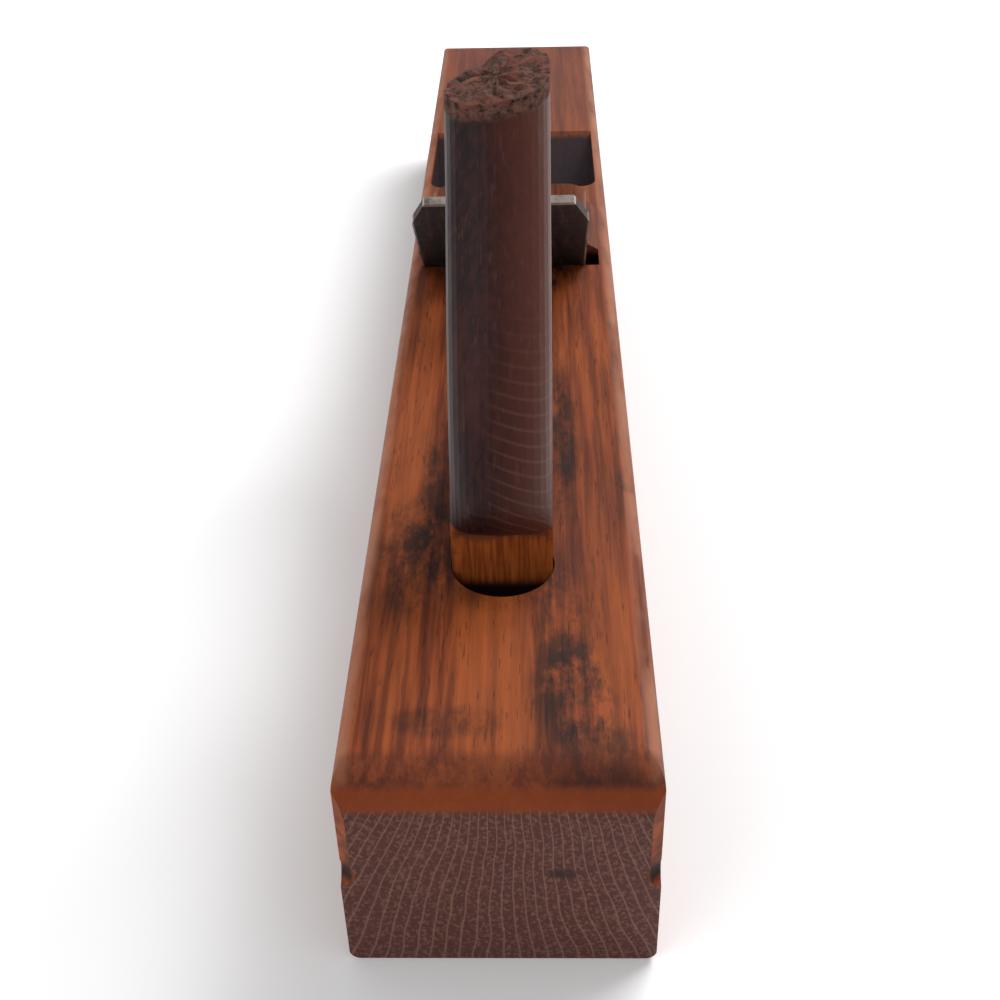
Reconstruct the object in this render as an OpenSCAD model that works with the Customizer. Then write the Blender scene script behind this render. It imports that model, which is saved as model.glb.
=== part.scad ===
// Wooden try plane: a long beech stock with an open tote, and a double iron held by a forked wedge.
// Millimetres. The origin is the middle of the sole, +Y points to the toe, +Z is up.

/* [Stock] */
// Length of the stock from heel to toe
stock_length = 560; // [420:5:680]
// Height of the stock, sole to top
stock_height = 67; // [55:1:84]
// Wood left on each side of the slot for the iron
side_wall = 5.5; // [5:0.5:14]
// Radius of the long top arrises
arris_r = 5; // [2:0.5:8]
// Radius of the round-over across the heel and the toe
end_r = 14; // [6:1:20]
// Radius of the sole's long arrises
sole_r = 3; // [1:0.5:4]
// Width of the chamfers on the four upright corners
corner_chamfer = 3; // [2:0.5:6]
// Height of the gouge cuts that stop those chamfers
chamfer_stop = 34; // [20:1:36]
// Radius of the gouge that cut the stops
gouge_r = 5; // [4:1:10]
// How far the gouge bit in past the chamfer
gouge_bite = 0.7; // [0.2:0.1:1.5]

/* [Throat] */
// Pitch of the bed that the iron lies on
bed_angle = 45; // [43:0.5:50]
// Taper of the wedge and its abutments
wedge_angle = 10; // [8:0.5:12]
// Distance from the heel to the foot of the bed at the sole
mouth_from_heel = 344; // [300:1:380]
// Gap at the mouth in front of the cutting edge
mouth_gap = 1.1; // [0.6:0.1:3]
// How much wider the slot is than the iron in it
slot_play = 6; // [2:0.5:8]
// How far each abutment stands in from the slot's side, at the top
abutment_depth = 5.5; // [4:0.5:8]
// Height above the sole where the abutments run out
abutment_start = 15; // [12:1:24]
// Thickness of each cheek beside the throat, at the top
cheek_wall = 4; // [3.5:0.5:6]
// How much each cheek leans in from the top down to the mouth
cheek_lean = 2.5; // [0:0.5:3]
// Length of the abutments at the top, from their wedge face to the eye
abutment_length = 50; // [30:1:54]
// Radius of the eyes, the hollows in front of the abutments
eye_r = 7; // [3:0.5:10]
// Slope of the front wall of the throat, from the sole
breast_angle = 44; // [44:1:60]

/* [Iron] */
// Width of the cutting iron
iron_width = 65; // [58:0.5:66]
// Length of the cutting iron
iron_length = 167; // [140:1:190]
// Thickness of the iron at its edge
iron_edge_t = 4.8; // [3.5:0.1:5.5]
// Thickness of the iron at its top
iron_top_t = 2.8; // [2:0.1:3.4]
// Angle of the ground bevel
bevel_angle = 26; // [22:1:32]
// Height of the cutting edge above the sole, at rest
edge_rise = 0.5; // [0.3:0.1:1]
// Width of each clipped top corner
clip_width = 6; // [2:0.5:12]
// Length of each clipped top corner
clip_length = 19; // [8:1:26]
// How much wider the iron's slot is than the screw in it
iron_slot_play = 2; // [1:0.5:4]
// How much wider the key hole at the slot's top end is than the screw's head
key_hole_play = 3; // [2:0.5:6]
// Distance from the iron's top edge to the centre of the key hole
key_hole_drop = 34; // [28:1:40]
// Distance from the cutting edge to the slot's lower end
slot_from_edge = 42; // [36:1:50]

/* [Cap iron] */
// Length of the cap iron
cap_length = 110; // [100:1:120]
// Thickness of the cap iron
cap_t = 3; // [2:0.2:3.6]
// Distance that the cap iron is set back from the cutting edge
cap_setback = 1.5; // [0.5:0.1:3]
// Length of the sprung hump at the cap iron's lower end
hump_length = 28; // [22:1:30]
// Height of the hump above the iron
hump_height = 5.4; // [5:0.1:6]
// Length of the hump's nose that bears on the iron
hump_nose = 1; // [0.6:0.1:2]
// How much narrower the cap iron is than the iron
cap_play = 2; // [0:0.5:3]
// Corner radius of the cap iron's top
cap_corner_r = 10; // [4:1:14]
// Distance from the cutting edge to the screw
screw_from_edge = 66; // [60:1:74]
// Diameter of the cap screw's shank
screw_d = 9.5; // [8:0.25:10]
// Diameter of the cap screw's head
head_d = 21; // [18:0.5:22]
// Thickness of the cap screw's head
head_t = 4; // [3:0.25:5]
// Width of the screwdriver slot in that head
driver_slot = 2.4; // [1.6:0.1:3]
// Depth of the screwdriver slot
driver_depth = 1.8; // [1:0.1:2.2]
// Diameter of the boss on the cap iron
boss_d = 19; // [16:0.5:21]
// Height of the boss
boss_t = 5; // [4:0.5:7]
// Chamfer around the boss's top
boss_chamfer = 1; // [0.5:0.1:1.5]

/* [Wedge] */
// Distance up the bed from the mouth to the tips of the wedge
wedge_foot = 24; // [24:1:34]
// Length of the wedge above the top of the stock, measured along the bed
wedge_stand = 19.25; // [10:0.25:40]
// How far the wedge's head steps in on each side
wedge_step = 5.2; // [3:0.1:9]
// Slope of the shoulders below the head, as rise over run
shoulder_slope = 1.6; // [0.8:0.1:2.5]
// Length of the head, above the shoulders
wedge_head_length = 20; // [14:1:30]
// Corner radius of the head
wedge_corner_r = 8; // [3:1:12]
// How much wider the fork is than the boss between its tines
fork_play = 9; // [6:0.5:12]
// Length of the wood above the fork
fork_stock = 27; // [20:1:40]

/* [Tote] */
// Thickness of the tote
tote_t = 29; // [26:0.5:32]
// Distance from the heel to the back of the tote's foot
tote_from_heel = 82; // [70:1:100]
// Length of the tote's foot
tote_foot = 118; // [112:1:130]
// Height of the flat band at the back of the foot, in its middle
band_height = 13; // [10:0.5:15]
// Depth of the mortise that holds the foot
mortise_depth = 14; // [10:1:18]
// How much wider the bore at the back of the mortise is than the tote
mortise_play = 1; // [0.5:0.5:4]
// How far the back of that bore lies behind the foot
mortise_gap = 11.5; // [6:0.5:12]
// Height of the break above the top of the stock
break_height = 122; // [100:1:128]
// How far the far left part of the break lies below the rest
break_step = 3.6; // [0:0.2:6]
// Slope of the break across the tote, as rise over run
break_tilt = 0.13; // [0:0.01:0.3]
// Roughness of the break
break_rough = 1.1; // [0:0.1:1.6]

/* [Hidden] */
$fn = 64;
// Facets of the shallow arcs, and how far a cut runs past the surface it opens
fine = 160;
eps = 1;
// Clearances: the iron to the slot's side, the wedge to its seats, the screw to its hole,
// the screw's head to the iron, the groove around that head, and the tote to its mortise
side_gap = 0.3;
wedge_gap = 0.05;
screw_gap = 0.05;
head_gap = 0.2;
groove_gap = 2.5;
glue_gap = 0.1;

heel_y = -stock_length/2;
toe_y = stock_length/2;
slot_width = iron_width+slot_play;
stock_width = slot_width+2*side_wall;
mouth_y = heel_y+mouth_from_heel;
abutment_angle = bed_angle+wedge_angle;
mouth_length = iron_edge_t/sin(bed_angle)+mouth_gap;
breast_foot_y = mouth_y+mouth_length;
breast_top_y = breast_foot_y+stock_height/tan(breast_angle);
bed_top_y = mouth_y-stock_height/tan(bed_angle);
abutment_top_y = breast_foot_y-stock_height/tan(abutment_angle);
eye_y = abutment_top_y+abutment_length;
throat_half = stock_width/2-cheek_wall;

// The iron leans to one side of its slot. Its front face tapers towards the bed.
iron_x = -(slot_width-iron_width)/2+side_gap;
taper = atan((iron_edge_t-iron_top_t)/iron_length);
face_angle = bed_angle-taper;
edge_u = (edge_rise-iron_edge_t*cos(bed_angle))/sin(bed_angle);
edge_y = mouth_y-edge_u*cos(bed_angle)+iron_edge_t*sin(bed_angle);
iron_top_u = edge_u+iron_length;
bevel_u = edge_u+iron_edge_t/tan(bevel_angle);
iron_slot = screw_d+iron_slot_play;
key_hole_d = head_d+key_hole_play;
key_hole_u = iron_top_u-key_hole_drop;
cap_width = iron_width-cap_play;
groove_width = head_d+2*groove_gap;
groove_depth = head_t+groove_gap;
groove_foot_u = edge_u+screw_from_edge-groove_width/2-2*groove_gap;

wedge_width = slot_width-2*side_gap;
wedge_top = stock_height/sin(bed_angle)+wedge_stand;
fork_width = boss_d+fork_play;

tote_y = heel_y+tote_from_heel;
tote_front_y = tote_y+tote_foot;
tote_half = tote_t/2;
mortise_bore = tote_t+mortise_play;

// Frames. children() of up_bed() are 2D, x up the bed and y away from it, and run across the stock.
// children() of on_bed() and on_iron() are 3D, with -y up the bed and +z away from it.
module across(width) {
    rotate([90, 0, 90]) linear_extrude(width, center = true) children();
}
module up_bed(width, x = 0) {
    translate([x, mouth_y, 0]) rotate([-bed_angle, 0, 0]) rotate([90, 0, -90])
        linear_extrude(width, center = true) children();
}
module on_bed(x = 0) {
    translate([x, mouth_y, 0]) rotate([-bed_angle, 0, 0]) children();
}
module on_iron() {
    translate([iron_x, edge_y, edge_rise]) rotate([-face_angle, 0, 0]) children();
}
module from_edge() {
    translate([edge_u, iron_edge_t]) rotate(-taper) children();
}

// Stock
module round_top_section(width, height, r) {
    union() {
        translate([-width/2, 0]) square([width, height-r]);
        translate([-width/2+r, 0]) square([width-2*r, height]);
        for (side = [-1, 1])
            translate([side*(width/2-r), height-r]) circle(r);
    }
}
module stock_section() {
    intersection() {
        round_top_section(stock_width, stock_height, arris_r);
        translate([0, stock_height]) mirror([0, 1])
            round_top_section(stock_width, stock_height, sole_r);
    }
}
module corner_cut() {
    flat = corner_chamfer/sqrt(2);
    rotate([0, 0, 45]) {
        translate([-flat, -stock_width/2, chamfer_stop]) cube([4*flat, stock_width, stock_height]);
        translate([-flat+gouge_r-gouge_bite, 0, chamfer_stop]) rotate([90, 0, 0])
            cylinder(h = stock_width, r = gouge_r, center = true);
    }
}
module block() {
    difference() {
        intersection() {
            rotate([90, 0, 0]) linear_extrude(stock_length, center = true) stock_section();
            across(stock_width+2*eps) round_top_section(stock_length, stock_height, end_r);
        }
        for (turn = [0, 180], side = [0, 1])
            rotate([0, 0, turn]) mirror([side, 0, 0])
                translate([stock_width/2, toe_y, 0]) corner_cut();
    }
}
// The slot for the iron and the wedge, between the bed and the abutments
module slot_cut() {
    foot = eps/tan(bed_angle);
    rise = (stock_height+eps)/tan(bed_angle);
    across(slot_width) polygon([
        [mouth_y+foot, -eps],
        [mouth_y-rise, stock_height+eps],
        [breast_foot_y-(stock_height+eps)/tan(abutment_angle), stock_height+eps],
        [breast_foot_y+eps/tan(abutment_angle), -eps]]);
}
// The side view of the open throat, from a line at its back to the breast
module throat_side(back_foot, back_top) {
    polygon([
        [back_foot, -eps],
        [back_top, stock_height+eps],
        [breast_top_y+eps/tan(breast_angle), stock_height+eps],
        [breast_foot_y, 0],
        [breast_foot_y, -eps]]);
}
module wall_pair(foot, top, start) {
    polygon([
        [-foot, -eps], [foot, -eps], [foot, start], [top, stock_height], [top, stock_height+eps],
        [-top, stock_height+eps], [-top, stock_height], [-foot, start]]);
}
// The clear way between the abutments, which run out above the mouth
module middle_cut() {
    intersection() {
        across(slot_width) throat_side(mouth_y, bed_top_y);
        rotate([90, 0, 0]) linear_extrude(stock_length, center = true)
            wall_pair(slot_width/2, slot_width/2-abutment_depth, abutment_start);
    }
}
// The wide throat in front of the abutments, with round eyes at its back corners
module cheek_cut() {
    intersection() {
        across(2*throat_half) throat_side(breast_foot_y-mouth_gap, eye_y);
        rotate([90, 0, 0]) linear_extrude(stock_length, center = true)
            wall_pair(throat_half-cheek_lean, throat_half, 0);
        translate([0, 0, -eps]) linear_extrude(stock_height+2*eps) union() {
            translate([-throat_half, eye_y+eye_r]) square([2*throat_half, stock_length/2]);
            translate([-throat_half+eye_r, 0]) square([2*(throat_half-eye_r), stock_length/2]);
            for (side = [-1, 1])
                translate([side*(throat_half-eye_r), eye_y+eye_r]) circle(eye_r);
        }
    }
}
// The groove in the bed that clears the head of the cap screw
module bed_groove() {
    on_bed(iron_x) translate([0, 0, -groove_depth]) linear_extrude(groove_depth+eps) union() {
        translate([0, -groove_foot_u-groove_width/2]) circle(d = groove_width);
        translate([-groove_width/2, -2*stock_height-groove_foot_u])
            square([groove_width, 2*stock_height-groove_width/2]);
    }
}
module mortise() {
    translate([0, 0, stock_height-mortise_depth]) linear_extrude(mortise_depth+eps) union() {
        translate([0, tote_y-mortise_gap+mortise_bore/2]) circle(d = mortise_bore);
        translate([-tote_half-glue_gap, tote_y-glue_gap])
            square([tote_t+2*glue_gap, tote_foot-tote_half]);
        translate([0, tote_front_y-tote_half]) circle(tote_half+glue_gap);
    }
}
module stock() {
    color("#9c4a2c") difference() {
        block();
        slot_cut();
        middle_cut();
        cheek_cut();
        bed_groove();
        mortise();
    }
}

// Tote. Level sections are stacked from the foot of the mortise to the break. The curves go
// through a few points, each a height above the stock and a value. The back swells out behind the
// flat band of the foot, and back_round is the depth of its rounding. grip_reach is the distance
// from the back of the foot to the front of the grip. Below grip_foot the toe of the foot falls
// away to meet it, and toe_fall is its share of the foot's reach in front of the grip.
back_swell = [
    [band_height, 0], [band_height+4, 4.4], [25, 8.2], [40, 4.4], [60, -5.5], [80, -18.5],
    [102, -34], [130, -47]];
back_round = [
    [band_height, 0.6], [band_height+4, 5], [25, 14.6], [34, 16.5], [130, 16.5]];
grip_foot = [22, 52];
grip_reach = [
    [16, 67], grip_foot, [30, 43.5], [40, 40.2], [52, 42.5], [66, 50], [80, 60.5], [102, 76],
    [130, 90]];
toe_fall = [
    [-4, 1], [4, 0.995], [9, 0.94], [11.5, 0.773], [13, 0.5], [16, 0.227], [22, 0], [30, -0.129]];
level_heights = [
    0, 4, 6.5, 8, 9, 10, 11, 12, 13, 14, 15, 16, 17, 18.5, 20, 22, 24.5, 27, 30, 33, 36, 40, 44, 48,
    53, 58, 63, 68, 74, 80, 88, 96, 104, 110, 118, 126];
tote_levels = concat(
    [-mortise_depth], [for (h = level_heights) if (h < break_height-8) h], [break_height-6]);
arc_steps = 9;

function clamp01(t) = min(1, max(0, t));
function ease(t) = let(c = clamp01(t)) c*c*(3-2*c);
// A smooth curve through points [height, value], read at a height
function span(pts, h, i = 0) = (i >= len(pts)-2 || h < pts[i+1][0]) ? i : span(pts, h, i+1);
function slope_at(pts, i) = let(a = max(0, i-1), b = min(len(pts)-1, i+1))
    (pts[b][1]-pts[a][1])/(pts[b][0]-pts[a][0]);
function through(pts, h) =
    let(i = span(pts, h), d = pts[i+1][0]-pts[i][0], t = clamp01((h-pts[i][0])/d))
    (2*t^3-3*t^2+1)*pts[i][1]+(t^3-2*t^2+t)*d*slope_at(pts, i)
    +(3*t^2-2*t^3)*pts[i+1][1]+(t^3-t^2)*d*slope_at(pts, i+1);

function back_y(h) = tote_y-through(back_swell, max(h, band_height));
function front_y(h) = tote_y+(h > grip_foot[0] ? through(grip_reach, h)
    : grip_foot[1]+(tote_foot-grip_foot[1])*through(toe_fall, h));
function tote_ring(h) =
    let(y0 = back_y(h), y1 = front_y(h), ry = through(back_round, max(h, band_height)))
    concat(
        [for (i = [0:2*arc_steps]) let(a = 180+90*i/arc_steps)
            [tote_half*cos(a), y0+ry+ry*sin(a)]],
        [for (i = [0:2*arc_steps]) let(a = 90*i/arc_steps)
            [tote_half*cos(a), y1-tote_half+tote_half*sin(a)]]);
// The break slopes up to the right, and its far left part split off lower. The split runs
// lengthwise at split_x, from split_back behind the rim, and each side eases over a short way.
split_x = -1.5;
split_ease = 2.5;
split_back = 24;
split_run = 4;
function break_z(x, y) = break_height+break_tilt*x
    -break_step*ease((split_x-x)/split_ease)*ease((y-back_y(break_height)-split_back)/split_run);
module tote() {
    n = 4*arc_steps+2;
    levels = len(tote_levels);
    shrink = [1, 0.86, 0.68, 0.48, 0.26];
    rim_share = 0.4;
    noise = rands(-1, 1, n*len(shrink), 7);
    rim = tote_ring(break_height);
    mid = [0, (back_y(break_height)+front_y(break_height))/2];
    walls = [for (h = tote_levels) for (p = tote_ring(h)) [p[0], p[1], stock_height+h]];
    crown = [for (k = [0:len(shrink)-1]) for (i = [0:n-1])
        let(p = mid+(rim[i]-mid)*shrink[k], rough = break_rough*(k == 0 ? rim_share : 1)*noise[k*n+i])
        [p[0], p[1], stock_height+break_z(p[0], p[1])+rough]];
    peak = [[mid[0], mid[1], stock_height+break_z(mid[0], mid[1])]];
    rings = levels+len(shrink);
    foot = [[mid[0], tote_y+tote_foot/2, stock_height-mortise_depth]];
    skin = [for (k = [0:rings-2]) for (i = [0:n-1])
        let(a = k*n+i, b = k*n+(i+1)%n) each [[a, a+n, b], [b, a+n, b+n]]];
    top_fan = [for (i = [0:n-1])
        [(rings-1)*n+i, rings*n, (rings-1)*n+(i+1)%n]];
    foot_fan = [for (i = [0:n-1]) [i, (i+1)%n, rings*n+1]];
    color("#5a3330")
        polyhedron(points = concat(walls, crown, peak, foot), faces = concat(skin, top_fan, foot_fan));
}

// Cutting iron
module iron_outline() {
    half = iron_width/2;
    polygon([
        [-half, -edge_u+eps], [-half, -iron_top_u+clip_length], [-half+clip_width, -iron_top_u],
        [half-clip_width, -iron_top_u], [half, -iron_top_u+clip_length], [half, -edge_u+eps]]);
}
module iron_slot_outline() {
    low = edge_u+slot_from_edge;
    union() {
        translate([0, -low]) circle(d = iron_slot);
        translate([-iron_slot/2, -key_hole_u]) square([iron_slot, key_hole_u-low]);
        translate([0, -key_hole_u]) circle(d = key_hole_d);
    }
}
module cutting_iron() {
    color("#3a302b") difference() {
        intersection() {
            up_bed(iron_width, iron_x) polygon([
                [bevel_u, 0], [iron_top_u, 0], [iron_top_u, iron_top_t], [edge_u, iron_edge_t]]);
            on_bed(iron_x) linear_extrude(stock_height, center = true) iron_outline();
        }
        on_bed(iron_x) linear_extrude(stock_height, center = true) iron_slot_outline();
    }
}

// Cap iron. Its side view has a plate and a hump, both drawn from the cutting edge up the iron.
function arc_radius(chord, rise) = (chord*chord/4+rise*rise)/(2*rise);
module arc_segment(start, chord, rise) {
    r = arc_radius(chord, rise);
    intersection() {
        translate([start+chord/2, rise-r]) circle(r, $fn = fine);
        translate([start-eps, 0]) square([chord+2*eps, rise+eps]);
    }
}
module cap_side() {
    inner_rise = hump_height-cap_t;
    inner_start = cap_setback+hump_nose;
    inner_chord = hump_length-hump_nose-cap_t;
    inner_r = arc_radius(inner_chord, inner_rise);
    plate_start = cap_setback+hump_length-2*cap_t;
    difference() {
        union() {
            arc_segment(cap_setback, hump_length, hump_height);
            translate([plate_start, 0]) square([cap_setback+cap_length-plate_start, cap_t]);
        }
        translate([inner_start+inner_chord/2, inner_rise-inner_r]) circle(inner_r, $fn = fine);
    }
}
module cap_outline() {
    half = cap_width/2;
    top = cap_setback+cap_length;
    union() {
        translate([-half, -top+cap_corner_r]) square([cap_width, top-cap_corner_r+eps]);
        translate([-half+cap_corner_r, -top]) square([cap_width-2*cap_corner_r, top]);
        for (side = [-1, 1])
            translate([side*(half-cap_corner_r), -top+cap_corner_r]) circle(cap_corner_r);
    }
}
module cap_iron() {
    color("#4a3f38") difference() {
        intersection() {
            up_bed(cap_width, iron_x) from_edge() cap_side();
            on_iron() translate([0, 0, -eps]) linear_extrude(hump_height+2*eps) cap_outline();
        }
        on_iron() translate([0, -screw_from_edge, -eps])
            cylinder(h = cap_t+2*eps, d = screw_d+2*screw_gap);
    }
}
module cap_boss() {
    color("#8d7645") on_iron() translate([0, -screw_from_edge, cap_t]) difference() {
        union() {
            cylinder(h = boss_t-boss_chamfer, d = boss_d);
            translate([0, 0, boss_t-boss_chamfer])
                cylinder(h = boss_chamfer, d1 = boss_d, d2 = boss_d-2*boss_chamfer);
        }
        translate([0, 0, -eps]) cylinder(h = boss_t+2*eps, d = screw_d+2*screw_gap);
    }
}
module cap_screw() {
    head_z = -iron_edge_t-head_gap+(screw_from_edge-head_d/2)*tan(taper);
    tip_z = cap_t+boss_t-boss_chamfer/2;
    color("#2f2a27") on_iron() translate([0, -screw_from_edge, 0]) difference() {
        union() {
            translate([0, 0, head_z-head_t]) cylinder(h = head_t, d = head_d);
            translate([0, 0, head_z-eps]) cylinder(h = tip_z-head_z+eps, d = screw_d);
        }
        translate([-head_d, -driver_slot/2, head_z-head_t-eps])
            cube([2*head_d, driver_slot, eps+driver_depth]);
    }
}

// Wedge. The side view lies between the cap iron and the abutments.
function wedge_back(u) = iron_edge_t-(u-edge_u)*tan(taper)+(cap_t+wedge_gap)/cos(taper);
function wedge_front(u) = mouth_length*sin(bed_angle)
    +(u+mouth_length*cos(bed_angle))*tan(wedge_angle)-wedge_gap/cos(wedge_angle);
module wedge_side() {
    polygon([
        [wedge_foot, wedge_back(wedge_foot)], [wedge_top, wedge_back(wedge_top)],
        [wedge_top, wedge_front(wedge_top)], [wedge_foot, wedge_front(wedge_foot)]]);
}
module wedge_outline() {
    half = wedge_width/2;
    head = half-wedge_step;
    shoulder = wedge_top-wedge_head_length;
    neck = shoulder+wedge_step*shoulder_slope;
    difference() {
        union() {
            polygon([
                [-half, -wedge_foot], [-half, -shoulder], [-head, -neck],
                [-head, -wedge_top+wedge_corner_r], [head, -wedge_top+wedge_corner_r],
                [head, -neck], [half, -shoulder], [half, -wedge_foot]]);
            translate([-head+wedge_corner_r, -wedge_top])
                square([2*(head-wedge_corner_r), wedge_head_length]);
            for (side = [-1, 1])
                translate([side*(head-wedge_corner_r), -wedge_top+wedge_corner_r])
                    circle(wedge_corner_r);
        }
        translate([iron_x, -wedge_top+fork_stock+fork_width/2]) circle(d = fork_width);
        translate([iron_x-fork_width/2, -wedge_top+fork_stock+fork_width/2])
            square([fork_width, wedge_top-fork_stock-fork_width/2-wedge_foot+eps]);
    }
}
module wedge() {
    color("#8f4f2c") intersection() {
        up_bed(wedge_width) wedge_side();
        on_bed() linear_extrude(2*stock_height, center = true) wedge_outline();
    }
}

stock();
tote();
cutting_iron();
cap_iron();
cap_boss();
cap_screw();
wedge();
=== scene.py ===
import math
import bpy
from mathutils import Matrix, Vector

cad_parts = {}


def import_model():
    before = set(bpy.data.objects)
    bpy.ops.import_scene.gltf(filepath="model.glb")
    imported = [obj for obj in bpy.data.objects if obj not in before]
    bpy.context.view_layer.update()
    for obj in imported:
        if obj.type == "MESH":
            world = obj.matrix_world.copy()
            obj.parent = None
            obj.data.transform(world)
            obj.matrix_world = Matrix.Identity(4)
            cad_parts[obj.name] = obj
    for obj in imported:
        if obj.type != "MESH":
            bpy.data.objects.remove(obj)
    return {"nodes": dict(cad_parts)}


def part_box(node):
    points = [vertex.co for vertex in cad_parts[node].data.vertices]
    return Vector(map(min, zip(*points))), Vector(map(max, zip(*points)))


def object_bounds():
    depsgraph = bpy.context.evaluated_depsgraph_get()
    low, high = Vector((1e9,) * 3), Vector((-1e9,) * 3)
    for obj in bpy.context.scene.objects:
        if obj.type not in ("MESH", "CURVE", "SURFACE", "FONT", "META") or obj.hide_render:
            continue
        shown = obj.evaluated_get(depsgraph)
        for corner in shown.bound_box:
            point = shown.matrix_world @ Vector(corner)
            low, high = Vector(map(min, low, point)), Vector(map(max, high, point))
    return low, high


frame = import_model()
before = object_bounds()

# Lengths are in metres, in the CAD's frame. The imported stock's box places its wear.
STOCK_LO, STOCK_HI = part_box("stock")
TOP = STOCK_HI[2]
HEEL = STOCK_LO[1]
HALF = STOCK_HI[0]

# Socket numbers of a Mix node that mixes colours
MIX_SHARE, MIX_A, MIX_B, MIX_RESULT = 0, 6, 7, 2
# A spot's share of its reach, squared, inside which it is full
SPOT_CORE = 0.15
BUMP_STRENGTH = 0.6


def rgb(r, g, b):
    """A linear colour."""
    return (r, g, b, 1.0)


class Graph:
    """A material whose shader nodes are written as plain expressions."""

    def __init__(self, name):
        self.mat = bpy.data.materials.new(name)
        self.mat.use_nodes = True
        self.tree = self.mat.node_tree
        self.bsdf = self.tree.nodes["Principled BSDF"]
        self.place = self.tree.nodes.new("ShaderNodeTexCoord").outputs["Object"]
        self.x, self.y, self.z = self.add("ShaderNodeSeparateXYZ", Vector=self.place).outputs

    def add(self, kind, settings=None, **inputs):
        n = self.tree.nodes.new(kind)
        for key, value in (settings or {}).items():
            setattr(n, key, value)
        for key, value in inputs.items():
            self.put(n.inputs[key], value)
        return n

    def put(self, socket, value):
        if isinstance(value, bpy.types.NodeSocket):
            self.tree.links.new(value, socket)
        else:
            socket.default_value = value

    def math(self, op, *values):
        n = self.add("ShaderNodeMath", {"operation": op})
        for i, value in enumerate(values):
            self.put(n.inputs[i], value)
        return n.outputs[0]

    def times(self, first, *others):
        for value in others:
            first = self.math("MULTIPLY", first, value)
        return first

    def plus(self, a, b):
        return self.math("ADD", a, b)

    def minus(self, a, b):
        return self.math("SUBTRACT", a, b)

    def ramp(self, value, none, full):
        """0 at none and 1 at full, smooth between them and level beyond. none may be the larger."""
        n = self.add("ShaderNodeMapRange", {"interpolation_type": "SMOOTHSTEP"}, Value=value)
        n.inputs["From Min"].default_value = min(none, full)
        n.inputs["From Max"].default_value = max(none, full)
        n.inputs["To Min"].default_value = 0.0 if none < full else 1.0
        n.inputs["To Max"].default_value = 1.0 if none < full else 0.0
        return n.outputs["Result"]

    def noise(self, cells, detail=4.0, rough=0.55, twist=0.0, turn=(0, 0, 0)):
        """Noise with about that many cells in a metre along x, y and z."""
        grid = self.add("ShaderNodeMapping", Vector=self.place)
        grid.inputs["Scale"].default_value = cells
        grid.inputs["Rotation"].default_value = turn
        n = self.add("ShaderNodeTexNoise", Vector=grid.outputs[0])
        n.inputs["Scale"].default_value = 1.0
        n.inputs["Detail"].default_value = detail
        n.inputs["Roughness"].default_value = rough
        n.inputs["Distortion"].default_value = twist
        return n.outputs["Fac"]

    def mix(self, share, a, b):
        n = self.add("ShaderNodeMix", {"data_type": "RGBA"})
        self.put(n.inputs[MIX_SHARE], share)
        self.put(n.inputs[MIX_A], a)
        self.put(n.inputs[MIX_B], b)
        return n.outputs[MIX_RESULT]

    def tint(self, body, colour, strength, *masks):
        """body, turned towards a colour by the product of the masks and the strength."""
        return self.mix(self.times(*masks, strength), body, colour)

    def near(self, spot, reach):
        """1 at a spot, falling to 0 at its reach along each axis."""
        parts = []
        for value, middle, size in zip((self.x, self.y, self.z), spot, reach):
            away = self.math("DIVIDE", self.minus(value, middle), size)
            parts.append(self.times(away, away))
        total = self.plus(self.plus(parts[0], parts[1]), parts[2])
        return self.ramp(total, 1.0, SPOT_CORE)

    def finish(self, colour, rough, bump=None, depth=0.0003, metal=0.0, shine=0.5):
        self.bsdf.inputs["Specular IOR Level"].default_value = shine
        self.bsdf.inputs["Metallic"].default_value = metal
        self.put(self.bsdf.inputs["Base Color"], colour)
        self.put(self.bsdf.inputs["Roughness"], rough)
        if bump is not None:
            n = self.add("ShaderNodeBump", Height=bump)
            n.inputs["Strength"].default_value = BUMP_STRENGTH
            n.inputs["Distance"].default_value = depth
            self.tree.links.new(n.outputs[0], self.bsdf.inputs["Normal"])
        return self.mat


# Stock: old oiled beech, with its grain along y
BEECH_DARK = rgb(0.085, 0.015, 0.005)
BEECH = rgb(0.270, 0.058, 0.013)
BEECH_ORANGE = rgb(0.36, 0.085, 0.017)
BEECH_SHADE = rgb(0.045, 0.010, 0.006)
BEECH_FLECK = rgb(0.022, 0.006, 0.004)
BEECH_FAR = rgb(0.115, 0.042, 0.030)
# Pale wear, with a painted highlight, on the long arrises
BEECH_WORN_HIGHLIGHT = rgb(0.36, 0.15, 0.085)
HEEL_MAUVE = rgb(0.085, 0.022, 0.014)
HEEL_ORANGE = rgb(0.22, 0.040, 0.007)
# Near-black for grime, and for painted shade and painted shadow
GRIME_AND_SHADE = rgb(0.006, 0.004, 0.004)
# Painted shade inside the throat
THROAT_SHADE = rgb(0.020, 0.018, 0.024)
STOCK_ROUGHNESS = (0.42, 0.70)
# Stains, and a painted shadow (the last entry): place, reach along x, y and z, and darkness
STAINS_AND_SHADOW = [
    ((0.0190, -0.2470, TOP), (0.014, 0.026, 0.02), 0.85),
    ((0.0170, -0.2200, TOP), (0.010, 0.030, 0.02), 0.6),
    ((0.0240, -0.2680, TOP), (0.014, 0.014, 0.02), 0.7),
    ((-0.014, -0.2585, TOP), (0.020, 0.007, 0.02), 0.55),
    ((-0.0256, -0.1900, TOP), (0.016, 0.034, 0.02), 0.8),
    ((-0.0210, -0.1600, TOP), (0.007, 0.050, 0.02), 0.7),
    ((0.0185, -0.1300, TOP), (0.006, 0.060, 0.02), 0.75),
    ((0.0373, -0.1540, TOP), (0.004, 0.007, 0.02), 0.7),
    ((0.0000, -0.1985, TOP), (0.024, 0.020, 0.02), 0.6),
    ((0.0255, -0.2770, 0.0600), (0.018, 0.010, 0.009), 0.85),
    ((0.0376, -0.2770, 0.0590), (0.006, 0.010, 0.010), 0.8),
    # Painted shadow cast by the iron on the stock's top, behind the bed
    ((-0.002, -0.0100, TOP), (0.038, 0.020, 0.02), 1.0),
]


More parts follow.
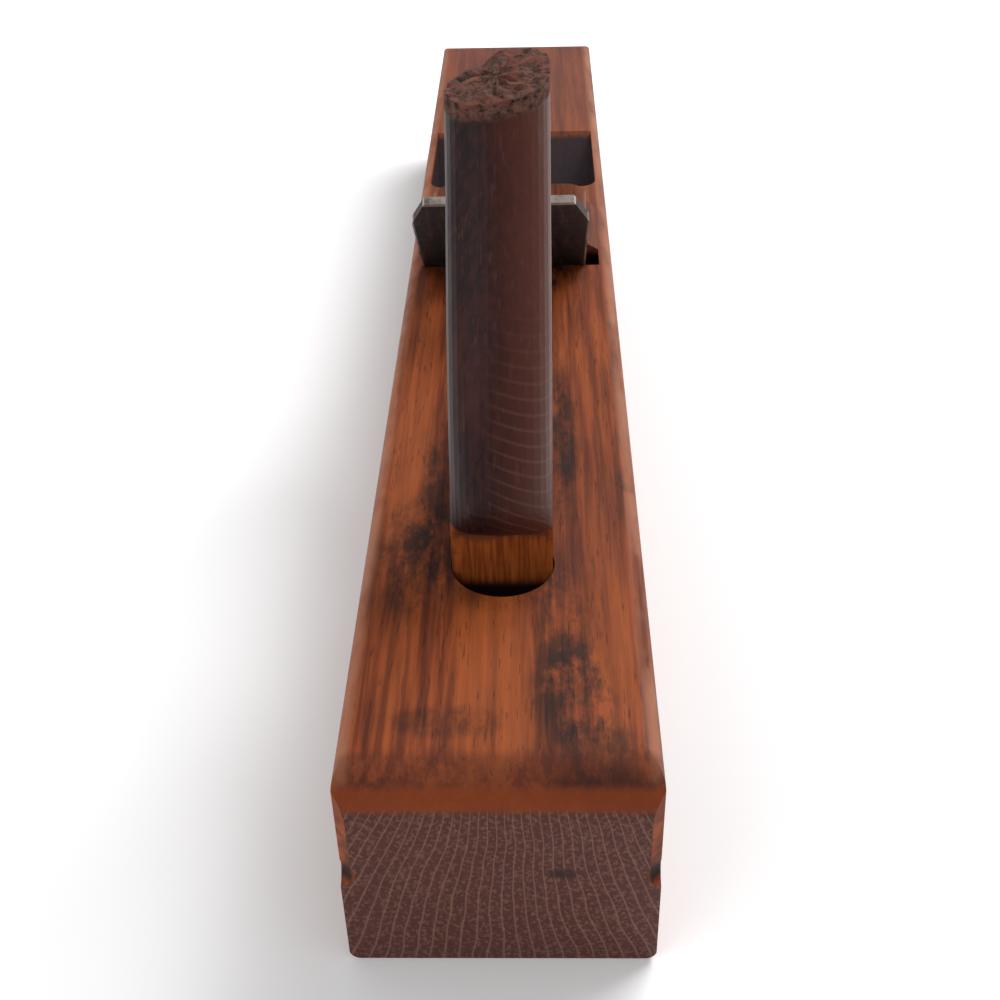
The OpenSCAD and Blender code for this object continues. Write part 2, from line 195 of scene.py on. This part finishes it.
def stock_wood(g, fibre, band):
    body = g.mix(g.ramp(fibre, 0.35, 0.68), BEECH_DARK, BEECH)
    body = g.tint(body, BEECH_ORANGE, 0.6, g.ramp(band, 0.35, 0.7))
    blotch = g.noise((22, 12, 22), rough=0.6)
    body = g.tint(body, BEECH_SHADE, 0.55, g.ramp(blotch, 0.5, 0.75))
    # Short dark flecks along the grain, and a duller far half
    fleck = g.noise((1500, 130, 1500), 2.0, 0.4)
    body = g.tint(body, BEECH_FLECK, 0.5, g.ramp(fleck, 0.62, 0.72))
    return g.tint(body, BEECH_FAR, 0.6, g.ramp(g.y, -0.05, 0.25))


def stock_stains_and_shadow(g, body):
    ragged = g.ramp(g.noise((130, 60, 130), 5.0, 0.7), 0.36, 0.62)
    for spot, reach, dark in STAINS_AND_SHADOW:
        body = g.tint(body, GRIME_AND_SHADE, dark, g.near(spot, reach), ragged)
    return body


def stock_wear(g, body, side):
    """side is the distance from the stock's middle plane."""
    # The long arrises are worn pale in patches, and carry a painted highlight
    arris = g.times(g.ramp(side, HALF-0.0052, HALF-0.0018), g.ramp(g.z, TOP-0.006, TOP-0.001))
    chafed = g.ramp(g.noise((60, 25, 60), rough=0.6), 0.32, 0.6)
    body = g.tint(body, BEECH_WORN_HIGHLIGHT, 0.75, arris, chafed)
    # The round-over at the heel is mauve-brown, and orange where it meets the end
    over = g.times(g.ramp(g.y, HEEL+0.013, HEEL+0.009), g.ramp(g.z, TOP-0.016, TOP-0.012))
    body = g.tint(body, HEEL_MAUVE, 0.45, over)
    strip = g.times(g.ramp(g.y, HEEL+0.0045, HEEL+0.0025), g.ramp(g.z, TOP-0.0155, TOP-0.0125))
    body = g.tint(body, HEEL_ORANGE, 0.75, strip)
    # The gouge cuts in which the upright chamfers end are painted dark, as painted shade in their
    # notches
    corner = g.times(g.ramp(side, HALF-0.0034, HALF-0.0024), g.ramp(g.y, HEEL+0.0045, HEEL+0.0030))
    return g.tint(body, GRIME_AND_SHADE, 0.9, corner, g.ramp(g.z, 0.0385, 0.0345), g.ramp(g.z, 0.0300, 0.0320))


# End grain of the heel and the toe: pale lines that fan out below a point above the end
END_DARK = rgb(0.078, 0.026, 0.020)
END_MIDDLE = rgb(0.159, 0.0705, 0.0525)
END_PALE = rgb(0.24, 0.115, 0.085)
END_MARK = rgb(0.02, 0.012, 0.012)
FAN_X, FAN_Z = 0.004, 0.125
FAN_RADIUS = 0.085
FAN_WANDER = 0.007
FAN_PITCH = 0.0027
# Small dark marks on the heel: place, reach along x, y and z, and darkness
MARKS = [
    ((0.0159, HEEL, 0.0346), (0.005, 0.006, 0.0025), 0.7),
    ((-0.0340, HEEL, 0.0640), (0.005, 0.006, 0.0018), 0.95),
    ((-0.0193, HEEL, 0.0640), (0.0015, 0.008, 0.0012), 0.9),
]


def end_grain(g):
    angle = g.math("ARCTAN2", g.minus(g.x, FAN_X), g.minus(FAN_Z, g.z))
    wander = g.times(g.noise((24, 10, 24), 2.0), FAN_WANDER)
    across = g.plus(g.times(angle, FAN_RADIUS), wander)
    line = g.ramp(g.math("SINE", g.times(across, 2*math.pi/FAN_PITCH)), 0.80, 1.0)
    body = g.mix(g.ramp(g.noise((900, 60, 900), 3.0), 0.45, 0.7), END_DARK, END_MIDDLE)
    body = g.tint(body, END_PALE, 0.55, line)
    for spot, reach, dark in MARKS:
        body = g.tint(body, END_MARK, dark, g.near(spot, reach))
    return body


def at_ends(g):
    """1 where the surface lies at the heel or the toe and faces along y."""
    normal = g.add("ShaderNodeNewGeometry").outputs["Normal"]
    along = g.add("ShaderNodeSeparateXYZ", Vector=normal).outputs[1]
    facing = g.ramp(g.math("ABSOLUTE", along), 0.93, 0.985)
    return g.times(facing, g.ramp(g.math("ABSOLUTE", g.y), -HEEL-0.0016, -HEEL-0.0006))


def in_throat(g, side):
    """1 on the breast and the bed, below the stock's top, where painted shade darkens the throat."""
    length = g.times(g.ramp(g.y, -0.02, 0.0), g.ramp(g.y, 0.150, 0.148))
    return g.times(length, g.ramp(g.z, TOP-0.0008, TOP-0.003), g.ramp(side, 0.0385, 0.0375))


def stock_material():
    g = Graph("stock_beech")
    side = g.math("ABSOLUTE", g.x)
    fibre = g.noise((420, 16, 420), 6.0, 0.6, 0.2)
    band = g.noise((70, 3.0, 70), 3.0, 0.5, 0.3)
    body = stock_stains_and_shadow(g, stock_wood(g, fibre, band))
    body = g.mix(at_ends(g), stock_wear(g, body, side), end_grain(g))
    # Painted shade: the throat's breast and bed are darkened nearly to black
    body = g.tint(body, THROAT_SHADE, 0.9, in_throat(g, side))
    rough = g.add("ShaderNodeMapRange", Value=g.noise((90, 30, 90)))
    rough.inputs["To Min"].default_value, rough.inputs["To Max"].default_value = STOCK_ROUGHNESS
    bump = g.plus(fibre, g.times(band, 0.5))
    return g.finish(body, rough.outputs[0], bump, depth=0.00025, shine=0.16)


# Tote: dark, polished beech, with painted light making its right side redder and lighter, with an
# orange band and a broken top
TOTE_DARK = rgb(0.012, 0.005, 0.006)
TOTE_WOOD = rgb(0.032, 0.010, 0.010)
TOTE_LIT_RIGHT = rgb(0.120, 0.036, 0.024)
TOTE_PATCH = rgb(0.090, 0.022, 0.014)
TOTE_RAY = rgb(0.14, 0.07, 0.06)
TOTE_ARC = rgb(0.15, 0.065, 0.042)
BAND_DARK = rgb(0.17, 0.036, 0.008)
BAND_ORANGE = rgb(0.34, 0.085, 0.018)
BAND_STAIN = rgb(0.09, 0.026, 0.016)
# Painted shadow inside the mortise
TENON_SHADOW = rgb(0.012, 0.006, 0.006)
# Painted shade for the holes in the broken top
TORN_PIT_SHADE = rgb(0.012, 0.006, 0.005)
TORN_PALE = rgb(0.15, 0.070, 0.050)
TORN_PINK = rgb(0.19, 0.055, 0.040)
GRAIN_LEAN = math.radians(-20)
RAY_LEAN = math.radians(25)
RING_X, RING_Z = -0.022, 0.052
RING_PITCH = 0.0034
# The band's height in its middle, and how fast its boundary rises towards the sides
BAND_HEIGHT = 0.0130
BAND_CURVE = 22.0
# The break's slope across the tote, and the heights above the stock between which it starts
BREAK_SLOPE = 0.13
BREAK_LOW, BREAK_HIGH = 0.1172, 0.1192


def tote_grip(g, fibre, cloud):
    body = g.mix(g.ramp(fibre, 0.35, 0.7), TOTE_DARK, TOTE_WOOD)
    # Painted light makes the right side lighter and redder
    body = g.tint(body, TOTE_LIT_RIGHT, 0.6, g.ramp(g.x, -0.008, 0.012))
    body = g.tint(body, TOTE_PATCH, 0.5, g.ramp(cloud, 0.5, 0.72))
    # Pale ray flecks slant up to the right
    ray = g.noise((900, 240, 110), 2.0, 0.4, turn=(0, RAY_LEAN, 0))
    body = g.tint(body, TOTE_RAY, 0.16, g.ramp(ray, 0.62, 0.72))
    # Ring arcs show low on the right of the grip
    dx = g.minus(g.x, RING_X)
    dz = g.minus(g.z, RING_Z)
    away = g.math("SQRT", g.plus(g.times(dx, dx), g.times(dz, dz)))
    arcs = g.ramp(g.math("SINE", g.times(away, 2*math.pi/RING_PITCH)), 0.6, 1.0)
    low_right = g.times(g.ramp(g.x, -0.006, 0.004), g.ramp(g.z, 0.150, 0.110))
    return g.tint(body, TOTE_ARC, 0.35, arcs, low_right)


def tote_band(g, body):
    """The flat orange band at the back of the foot, under a curved boundary."""
    brow = g.plus(TOP+BAND_HEIGHT, g.times(g.x, g.x, BAND_CURVE))
    band = g.times(g.ramp(g.minus(brow, g.z), -0.0006, 0.0008), g.ramp(g.y, -0.180, -0.190))
    orange = g.mix(g.ramp(g.noise((900, 900, 60)), 0.35, 0.7), BAND_DARK, BAND_ORANGE)
    orange = g.tint(orange, BAND_STAIN, 0.7, g.ramp(g.noise((60, 60, 90)), 0.52, 0.66))
    return g.mix(band, body, orange)


def torn_wood(g, crumb):
    """Crumbly wood, with pale torn fibres, pinkish patches and painted shade in its holes."""
    torn = g.mix(g.ramp(crumb, 0.32, 0.62), TORN_PIT_SHADE, TORN_PALE)
    return g.tint(torn, TORN_PINK, 0.6, g.ramp(g.noise((140, 140, 200)), 0.5, 0.62))


def tote_material():
    g = Graph("tote_beech")
    fibre = g.noise((500, 500, 34), 5.0, 0.6, 0.2, (GRAIN_LEAN, 0, 0))
    cloud = g.noise((30, 22, 16), rough=0.6)
    crumb = g.noise((420, 420, 700), 6.0, 0.75)
    body = tote_band(g, tote_grip(g, fibre, cloud))
    # Below the stock's top the tenon is painted black, as painted shadow inside the mortise
    body = g.mix(g.ramp(g.z, TOP-0.002, TOP-0.006), body, TENON_SHADOW)
    height = g.minus(g.z, g.times(g.x, BREAK_SLOPE))
    broken = g.ramp(height, TOP+BREAK_LOW, TOP+BREAK_HIGH)
    body = g.mix(broken, body, torn_wood(g, crumb))
    rough = g.plus(g.times(broken, 0.45), g.plus(0.30, g.times(cloud, 0.2)))
    bump = g.plus(g.times(fibre, 0.35), g.times(crumb, broken, 5.0))
    return g.finish(body, rough, bump, depth=0.0004, shine=0.12)


# Irons and screw: browned and pitted steel, worn bright along the top rim and the sides, with a
# painted highlight along those rims
STEEL_DARK = rgb(0.012, 0.008, 0.007)
STEEL_BROWN = rgb(0.0312, 0.0208, 0.0182)
STEEL_RUST = rgb(0.13, 0.065, 0.038)
STEEL_WORN_GLINT = rgb(0.42, 0.36, 0.31)
RIM = 0.0028
IRON_MIDDLE = -0.0027
# Where the bed's plane meets the sole, and the share of y and z in its direction
MOUTH_Y = 0.064
BED_SHARE = math.sqrt(0.5)


def steel_material(name, top, half):
    """top is the piece's upper end, measured up the bed, and half is half its width."""
    g = Graph(name)
    up_bed = g.plus(g.times(g.minus(g.y, MOUTH_Y), -BED_SHARE), g.times(g.z, BED_SHARE))
    side = g.math("ABSOLUTE", g.minus(g.x, IRON_MIDDLE))
    pit = g.noise((260, 260, 260), 6.0, 0.7)
    body = g.mix(g.ramp(pit, 0.36, 0.66), STEEL_DARK, STEEL_BROWN)
    streak = g.noise((500, 60, 60), rough=0.6)
    body = g.tint(body, STEEL_RUST, 0.4, g.ramp(streak, 0.5, 0.7))
    top_rim = g.ramp(up_bed, top-RIM, top-0.6*RIM)
    side_rim = g.ramp(side, half-0.0009, half-0.0003)
    chafed = g.ramp(g.noise((120, 120, 120), rough=0.6), 0.3, 0.55)
    worn_and_glint = g.times(g.math("MAXIMUM", top_rim, side_rim), chafed)
    # Worn steel and a painted highlight along the top rim and the sides
    body = g.tint(body, STEEL_WORN_GLINT, 0.85, worn_and_glint)
    rough = g.minus(0.62, g.times(worn_and_glint, 0.2))
    return g.finish(body, rough, pit, depth=0.0002, metal=0.55)


# Wedge and boss
WEDGE_DARK = rgb(0.10, 0.024, 0.010)
WEDGE_WOOD = rgb(0.24, 0.066, 0.024)
WEDGE_SHADE = rgb(0.06, 0.022, 0.016)
BRASS_DULL = rgb(0.16, 0.11, 0.045)
BRASS = rgb(0.42, 0.31, 0.13)


def wedge_material():
    g = Graph("wedge_beech")
    fibre = g.noise((420, 40, 40), 6.0, 0.6, 0.2)
    body = g.mix(g.ramp(fibre, 0.35, 0.7), WEDGE_DARK, WEDGE_WOOD)
    body = g.tint(body, WEDGE_SHADE, 0.6, g.ramp(g.noise((40, 40, 40)), 0.5, 0.7))
    return g.finish(body, 0.48, fibre, shine=0.2)


def brass_material():
    g = Graph("boss_brass")
    pit = g.noise((300, 300, 300), 5.0, 0.6)
    body = g.mix(g.ramp(pit, 0.4, 0.65), BRASS_DULL, BRASS)
    return g.finish(body, 0.45, pit, depth=0.0001, metal=0.9)


def paint(name, material):
    o = frame["nodes"][name]
    if not o.material_slots:
        o.data.materials.append(material)
    for s in o.material_slots:
        s.material = material


paint("stock", stock_material())
paint("tote", tote_material())
paint("cutting_iron", steel_material("iron_steel", top=0.1629, half=0.0325))
paint("cap_iron", steel_material("cap_steel", top=0.1075, half=0.0315))
paint("cap_screw", steel_material("screw_steel", top=0.2, half=0.0105))
paint("cap_boss", brass_material())
paint("wedge", wedge_material())

# Floor, backdrop and light
FLOOR_HALF = 6.0
FLOOR_DROP = 0.0002
FLOOR_PALE = rgb(0.90, 0.905, 0.915)
FLOOR_WHITE = rgb(0.95, 0.95, 0.955)
WORLD_WHITE = rgb(1.0, 1.0, 1.0)
WORLD_LIGHT = 0.55


def floor():
    z = before[0][2]-FLOOR_DROP
    corners = [(-1, -1), (1, -1), (1, 1), (-1, 1)]
    mesh = bpy.data.meshes.new("floor")
    mesh.from_pydata([(FLOOR_HALF*x, FLOOR_HALF*y, z) for x, y in corners], [], [(0, 1, 2, 3)])
    o = bpy.data.objects.new("floor", mesh)
    bpy.context.scene.collection.objects.link(o)
    g = Graph("floor_white")
    tone = g.mix(g.noise((3, 3, 3), 2.0), FLOOR_PALE, FLOOR_WHITE)
    mesh.materials.append(g.finish(tone, 0.7))


def lamp(name, place, target, size, watts):
    data = bpy.data.lights.new(name, "AREA")
    data.shape = "RECTANGLE"
    data.size = size
    data.size_y = size
    data.energy = watts
    o = bpy.data.objects.new(name, data)
    o.location = place
    o.rotation_mode = "QUATERNION"
    o.rotation_quaternion = (Vector(target)-Vector(place)).to_track_quat("-Z", "Y")
    bpy.context.scene.collection.objects.link(o)


def world():
    """White to the camera, and dimmer as a light."""
    w = bpy.data.worlds.new("studio")
    bpy.context.scene.world = w
    w.use_nodes = True
    tree = w.node_tree
    back = tree.nodes["Background"]
    back.inputs["Color"].default_value = WORLD_WHITE
    path = tree.nodes.new("ShaderNodeLightPath")
    level = tree.nodes.new("ShaderNodeMapRange")
    tree.links.new(path.outputs["Is Camera Ray"], level.inputs["Value"])
    level.inputs["To Min"].default_value = WORLD_LIGHT
    level.inputs["To Max"].default_value = 1.0
    tree.links.new(level.outputs[0], back.inputs["Strength"])


# The camera that was fitted to the stock's edges in the photo
CAMERA_PLACE = (0.01048, -0.51015, 0.31833)
PITCH = math.radians(35.894)
YAW = math.radians(-1.959)
ROLL = math.radians(-1.585)
SENSOR = 36.0
LENS = 50.105
CLIP_NEAR, CLIP_FAR = 0.01, 50.0


def camera():
    ahead = math.cos(PITCH)
    look = Vector((math.sin(YAW)*ahead, math.cos(YAW)*ahead, -math.sin(PITCH)))
    level = Vector((math.cos(YAW), -math.sin(YAW), 0.0))
    above = level.cross(look)
    right = math.cos(ROLL)*level+math.sin(ROLL)*above
    up = math.cos(ROLL)*above-math.sin(ROLL)*level
    data = bpy.data.cameras.new("camera")
    data.sensor_width = SENSOR
    data.lens = LENS
    data.clip_start = CLIP_NEAR
    data.clip_end = CLIP_FAR
    o = bpy.data.objects.new("camera", data)
    turn = Matrix((right, up, -look)).transposed()
    o.matrix_world = Matrix.Translation(CAMERA_PLACE) @ turn.to_4x4()
    bpy.context.scene.collection.objects.link(o)
    bpy.context.scene.camera = o


floor()
world()
lamp("key", place=(0.9, 0.9, 1.5), target=(0.0, -0.05, 0.05), size=1.2, watts=36.0)
lamp("fill", place=(-1.2, -0.9, 1.0), target=(0.0, -0.1, 0.05), size=1.5, watts=9.0)
camera()
bpy.context.scene.view_settings.view_transform = "Standard"
